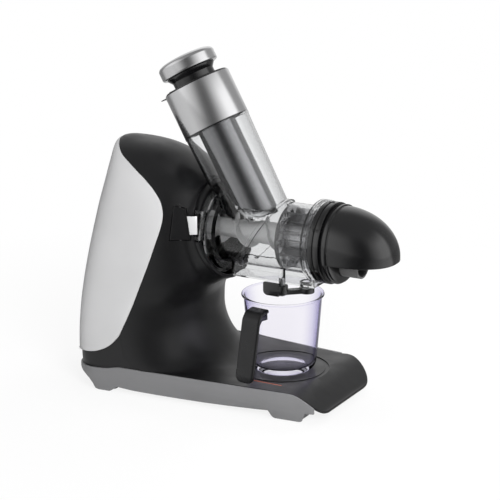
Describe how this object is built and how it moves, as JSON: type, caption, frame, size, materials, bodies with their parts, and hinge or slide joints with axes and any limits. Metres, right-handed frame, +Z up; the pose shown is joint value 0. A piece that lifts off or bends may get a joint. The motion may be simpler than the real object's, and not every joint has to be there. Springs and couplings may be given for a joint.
{
  "type": "slow juicer",
  "caption": "Horizontal slow juicer: geared motor turns an auger in a clear bowl; wide leaning chute with pusher, drip lever, pulp hood and jug.",
  "frame": {"origin": "middle of the overall length and width, on the table under the rubber feet", "axes": "+X along the auger towards the pulp outlet, +Y away from the latch and the jug handle side of the picture, +Z up"},
  "size_m": [0.3948, 0.203, 0.4165],
  "materials": {
    "black_body": "satin black moulding",
    "black_matte": "matte black moulding",
    "black_gloss": "gloss black moulding",
    "grey_skirt": "matte mid grey moulding",
    "grey_lip": "grey-black moulding",
    "silver_panel": "silver satin panel",
    "orange_strip": "dim orange strip",
    "rubber": "matte black rubber",
    "grey_rubber": "soft grey silicone",
    "steel": "plain steel",
    "gear_steel": "hardened steel",
    "gear_plastic": "natural engineering plastic",
    "cast_metal": "die-cast",
    "lamination": "stacked sheet",
    "copper": "copper windings, brass stands for copper",
    "board": "printed board",
    "chrome": "bright metal",
    "brushed": "polished and brushed metal",
    "screen": "slotted sheet",
    "white_plastic": "translucent white moulding",
    "auger_white": "pale moulding",
    "clear_bowl": "clear moulding",
    "clear_jug": "clear moulding, purple tint at the edges"
  },
  "bodies": {
    "housing": {"base_skirt": "grey_skirt", "bottom_plate": "black_matte", "rubber_feet": "rubber", "housing_screws": "steel", "front_housing": "black_body", "rear_housing": "black_body", "wrap_panel": "silver_panel", "deck_strip": "orange_strip", "socket_ring": "black_body", "latch_pin": "steel", "latch_spring": "steel", "motor_stator": "lamination", "motor_windings": "copper", "motor_brackets": "cast_metal", "motor_bearings": "steel", "gear_case": "cast_metal", "gear_cover": "cast_metal", "cover_screws": "steel", "shaft_bearings": "steel", "shaft_seal": "rubber", "control_board": "board", "switch_frame": "black_matte", "cord_gland": "rubber"},
    "latch": {"release_button": "black_matte", "latch_tab": "chrome"},
    "rocker": {"power_rocker": "black_gloss"},
    "drive": {"output_gear": "gear_steel", "output_shaft": "steel"},
    "lay": {"lay_shaft": "steel", "lay_gear": "gear_plastic", "lay_pinion": "gear_steel"},
    "rotor": {"motor_shaft": "steel", "motor_pinion": "gear_steel", "cooling_fan": "black_matte"},
    "bowl": {"bowl": "clear_bowl", "bowl_gasket": "grey_rubber", "chute_collar": "brushed", "auger_seal": "grey_rubber", "strainer": "screen", "strainer_cage": "white_plastic", "auger_bush": "white_plastic", "nut_seal": "grey_rubber", "pulp_hood": "black_gloss", "pulp_spout": "grey_lip", "lever_pin": "steel"},
    "auger": {"auger": "auger_white"},
    "nut": {"front_nut": "black_gloss"},
    "lever": {"drip_lever": "black_gloss", "lever_plug": "grey_rubber"},
    "lid": {"chute_lid": "black_gloss"},
    "pusher": {"pusher_tube": "brushed", "pusher_tip": "clear_bowl", "pusher_neck": "black_gloss", "pusher_knob": "brushed"},
    "jug": {"jug": "clear_jug", "jug_grip": "black_gloss"}
  },
  "joints": [
    {"name": "drive_spin", "type": "hinge", "parent": "housing", "child": "drive", "pos_m": [-0.092, 0, 0.1987], "axis": [1, 0, 0], "continuous": true},
    {"name": "lay_spin", "type": "hinge", "parent": "housing", "child": "lay", "pos_m": [-0.092, 0, 0.1492], "axis": [1, 0, 0], "continuous": true},
    {"name": "rotor_spin", "type": "hinge", "parent": "housing", "child": "rotor", "pos_m": [-0.092, 0, 0.1132], "axis": [1, 0, 0], "continuous": true},
    {"name": "auger_spin", "type": "hinge", "parent": "bowl", "child": "auger", "pos_m": [0.04, 0, 0.1987], "axis": [1, 0, 0], "continuous": true},
    {"name": "bowl_pull", "type": "slide", "parent": "housing", "child": "bowl", "axis": [1, 0, 0], "range_m": [0, 0.12]},
    {"name": "nut_turn", "type": "hinge", "parent": "bowl", "child": "nut", "pos_m": [0.1135, 0, 0.1987], "axis": [1, 0, 0], "range_deg": [0, 45]},
    {"name": "lever_swing", "type": "hinge", "parent": "bowl", "child": "lever", "pos_m": [0.05844, -0.02, 0.139], "axis": [0, 0, 1], "range_deg": [0, 60]},
    {"name": "lid_lift", "type": "slide", "parent": "bowl", "child": "lid", "axis": [-0.4879, 0, 0.8729], "range_m": [0, 0.18]},
    {"name": "pusher_slide", "type": "slide", "parent": "lid", "child": "pusher", "axis": [-0.4879, 0, 0.8729], "range_m": [0, 0.15]},
    {"name": "latch_rock", "type": "hinge", "parent": "housing", "child": "latch", "pos_m": [-0.0548, -0.0638, 0.2084], "axis": [0.119, -0.1911, -0.9743], "range_deg": [0, 6], "stiffness_Nm_per_rad": 1.2, "springref_deg": -2.86},
    {"name": "rocker_tilt", "type": "hinge", "parent": "housing", "child": "rocker", "pos_m": [-0.19277, 0, 0.07], "axis": [0, 1, 0], "range_deg": [-12, 12]},
    {"name": "jug_slide", "type": "slide", "parent": "housing", "child": "jug", "axis": [0, -1, 0], "range_m": [0, 0.16]}
  ],
  "couplings": [
    {"joint": "lay_spin", "follows": "drive_spin", "ratio": -4.5},
    {"joint": "rotor_spin", "follows": "drive_spin", "ratio": 22.5},
    {"joint": "auger_spin", "follows": "drive_spin", "ratio": 1}
  ]
}
